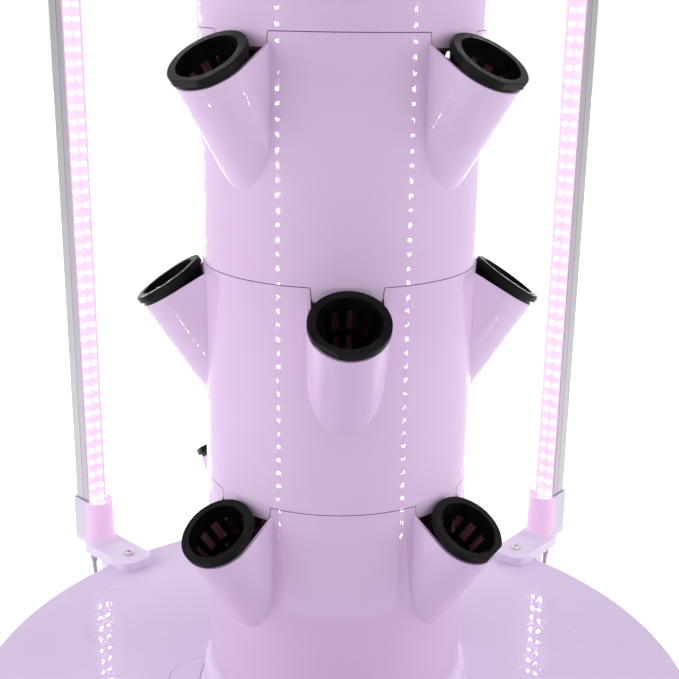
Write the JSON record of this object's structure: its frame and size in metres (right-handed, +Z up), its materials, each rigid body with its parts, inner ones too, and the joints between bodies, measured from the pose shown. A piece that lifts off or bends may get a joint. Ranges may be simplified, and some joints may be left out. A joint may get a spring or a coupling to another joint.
{
  "type": "hydroponic tower",
  "caption": "Stacked hydroponic planting tower with leaning net-cup pots on a round lidded reservoir, ringed by upright grow-light bars.",
  "frame": {"origin": "on the floor under the column's axis", "axes": "+Z up along the column, -Y out through the front pot of the second tier"},
  "size_m": [0.58, 0.58, 1.141],
  "materials": {
    "shell_plastic": "glossy pale lilac moulding",
    "cup_plastic": "satin black moulding",
    "channel_metal": "satin extrusion",
    "cover_clear": "clear",
    "led_board": "white board lit pink",
    "boot_plastic": "milky moulding",
    "end_cap_plastic": "satin",
    "screw_steel": "bright",
    "gland_plastic": "satin grey",
    "lead_sheath": "grey sheath",
    "grommet_rubber": "matt",
    "pump_plastic": "matt black",
    "impeller_plastic": "matt",
    "riser_plastic": "satin white"
  },
  "bodies": {
    "tower": {"reservoir_tank": "shell_plastic", "reservoir_lid": "shell_plastic", "tank_feet": "grommet_rubber", "pump_body": "pump_plastic", "pump_strainer": "pump_plastic", "pump_suckers": "grommet_rubber", "pump_outlet": "pump_plastic", "riser_pipe": "riser_plastic", "water_tray": "riser_plastic", "planting_pots": "shell_plastic", "tier_1": "shell_plastic", "tier_2": "shell_plastic", "tier_3": "shell_plastic", "tier_4": "shell_plastic", "tier_5": "shell_plastic", "light_channel_1": "channel_metal", "light_channel_2": "channel_metal", "light_channel_3": "channel_metal", "light_channel_4": "channel_metal", "light_cover_1": "cover_clear", "light_cover_2": "cover_clear", "light_cover_3": "cover_clear", "light_cover_4": "cover_clear", "led_board_1": "led_board", "led_board_2": "led_board", "led_board_3": "led_board", "led_board_4": "led_board", "light_foot_1": "boot_plastic", "light_foot_2": "boot_plastic", "light_foot_3": "boot_plastic", "light_foot_4": "boot_plastic", "light_end_caps": "end_cap_plastic", "foot_screws": "screw_steel", "lead_glands": "gland_plastic", "light_leads": "lead_sheath", "lead_grommets": "grommet_rubber", "power_gland": "gland_plastic"},
    "fill_hatch": {"fill_hatch": "shell_plastic"},
    "top_cap": {"top_cap": "shell_plastic"},
    "pump_impeller": {"pump_impeller": "impeller_plastic"},
    "cup_1_1": {"net_cup_1_1": "cup_plastic"},
    "cup_1_2": {"net_cup_1_2": "cup_plastic"},
    "cup_1_3": {"net_cup_1_3": "cup_plastic"},
    "cup_1_4": {"net_cup_1_4": "cup_plastic"},
    "cup_2_1": {"net_cup_2_1": "cup_plastic"},
    "cup_2_2": {"net_cup_2_2": "cup_plastic"},
    "cup_2_3": {"net_cup_2_3": "cup_plastic"},
    "cup_2_4": {"net_cup_2_4": "cup_plastic"},
    "cup_3_1": {"net_cup_3_1": "cup_plastic"},
    "cup_3_2": {"net_cup_3_2": "cup_plastic"},
    "cup_3_3": {"net_cup_3_3": "cup_plastic"},
    "cup_3_4": {"net_cup_3_4": "cup_plastic"},
    "cup_4_1": {"net_cup_4_1": "cup_plastic"},
    "cup_4_2": {"net_cup_4_2": "cup_plastic"},
    "cup_4_3": {"net_cup_4_3": "cup_plastic"},
    "cup_4_4": {"net_cup_4_4": "cup_plastic"},
    "cup_5_1": {"net_cup_5_1": "cup_plastic"},
    "cup_5_2": {"net_cup_5_2": "cup_plastic"},
    "cup_5_3": {"net_cup_5_3": "cup_plastic"},
    "cup_5_4": {"net_cup_5_4": "cup_plastic"}
  },
  "joints": [
    {"name": "cup_lift_1_1", "type": "slide", "parent": "tower", "child": "cup_1_1", "axis": [0.3954, -0.3954, 0.829], "range_m": [0, 0.07]},
    {"name": "cup_lift_1_2", "type": "slide", "parent": "tower", "child": "cup_1_2", "axis": [0.3954, 0.3954, 0.829], "range_m": [0, 0.07]},
    {"name": "cup_lift_1_3", "type": "slide", "parent": "tower", "child": "cup_1_3", "axis": [-0.3954, 0.3954, 0.829], "range_m": [0, 0.07]},
    {"name": "cup_lift_1_4", "type": "slide", "parent": "tower", "child": "cup_1_4", "axis": [-0.3954, -0.3954, 0.829], "range_m": [0, 0.07]},
    {"name": "cup_lift_2_1", "type": "slide", "parent": "tower", "child": "cup_2_1", "axis": [0, -0.5592, 0.829], "range_m": [0, 0.07]},
    {"name": "cup_lift_2_2", "type": "slide", "parent": "tower", "child": "cup_2_2", "axis": [0.5592, 0, 0.829], "range_m": [0, 0.07]},
    {"name": "cup_lift_2_3", "type": "slide", "parent": "tower", "child": "cup_2_3", "axis": [0, 0.5592, 0.829], "range_m": [0, 0.07]},
    {"name": "cup_lift_2_4", "type": "slide", "parent": "tower", "child": "cup_2_4", "axis": [-0.5592, 0, 0.829], "range_m": [0, 0.07]},
    {"name": "cup_lift_3_1", "type": "slide", "parent": "tower", "child": "cup_3_1", "axis": [0.3954, -0.3954, 0.829], "range_m": [0, 0.07]},
    {"name": "cup_lift_3_2", "type": "slide", "parent": "tower", "child": "cup_3_2", "axis": [0.3954, 0.3954, 0.829], "range_m": [0, 0.07]},
    {"name": "cup_lift_3_3", "type": "slide", "parent": "tower", "child": "cup_3_3", "axis": [-0.3954, 0.3954, 0.829], "range_m": [0, 0.07]},
    {"name": "cup_lift_3_4", "type": "slide", "parent": "tower", "child": "cup_3_4", "axis": [-0.3954, -0.3954, 0.829], "range_m": [0, 0.07]},
    {"name": "cup_lift_4_1", "type": "slide", "parent": "tower", "child": "cup_4_1", "axis": [0, -0.5592, 0.829], "range_m": [0, 0.07]},
    {"name": "cup_lift_4_2", "type": "slide", "parent": "tower", "child": "cup_4_2", "axis": [0.5592, 0, 0.829], "range_m": [0, 0.07]},
    {"name": "cup_lift_4_3", "type": "slide", "parent": "tower", "child": "cup_4_3", "axis": [0, 0.5592, 0.829], "range_m": [0, 0.07]},
    {"name": "cup_lift_4_4", "type": "slide", "parent": "tower", "child": "cup_4_4", "axis": [-0.5592, 0, 0.829], "range_m": [0, 0.07]},
    {"name": "cup_lift_5_1", "type": "slide", "parent": "tower", "child": "cup_5_1", "axis": [0.3954, -0.3954, 0.829], "range_m": [0, 0.07]},
    {"name": "cup_lift_5_2", "type": "slide", "parent": "tower", "child": "cup_5_2", "axis": [0.3954, 0.3954, 0.829], "range_m": [0, 0.07]},
    {"name": "cup_lift_5_3", "type": "slide", "parent": "tower", "child": "cup_5_3", "axis": [-0.3954, 0.3954, 0.829], "range_m": [0, 0.07]},
    {"name": "cup_lift_5_4", "type": "slide", "parent": "tower", "child": "cup_5_4", "axis": [-0.3954, -0.3954, 0.829], "range_m": [0, 0.07]},
    {"name": "top_cap_lift", "type": "slide", "parent": "tower", "child": "top_cap", "axis": [0, 0, 1], "range_m": [0, 0.1]},
    {"name": "fill_hatch_lift", "type": "slide", "parent": "tower", "child": "fill_hatch", "axis": [0, 0, 1], "range_m": [0, 0.08]},
    {"name": "impeller_spin", "type": "hinge", "parent": "tower", "child": "pump_impeller", "pos_m": [0, 0, 0.05], "axis": [0, 1, 0], "continuous": true}
  ]
}
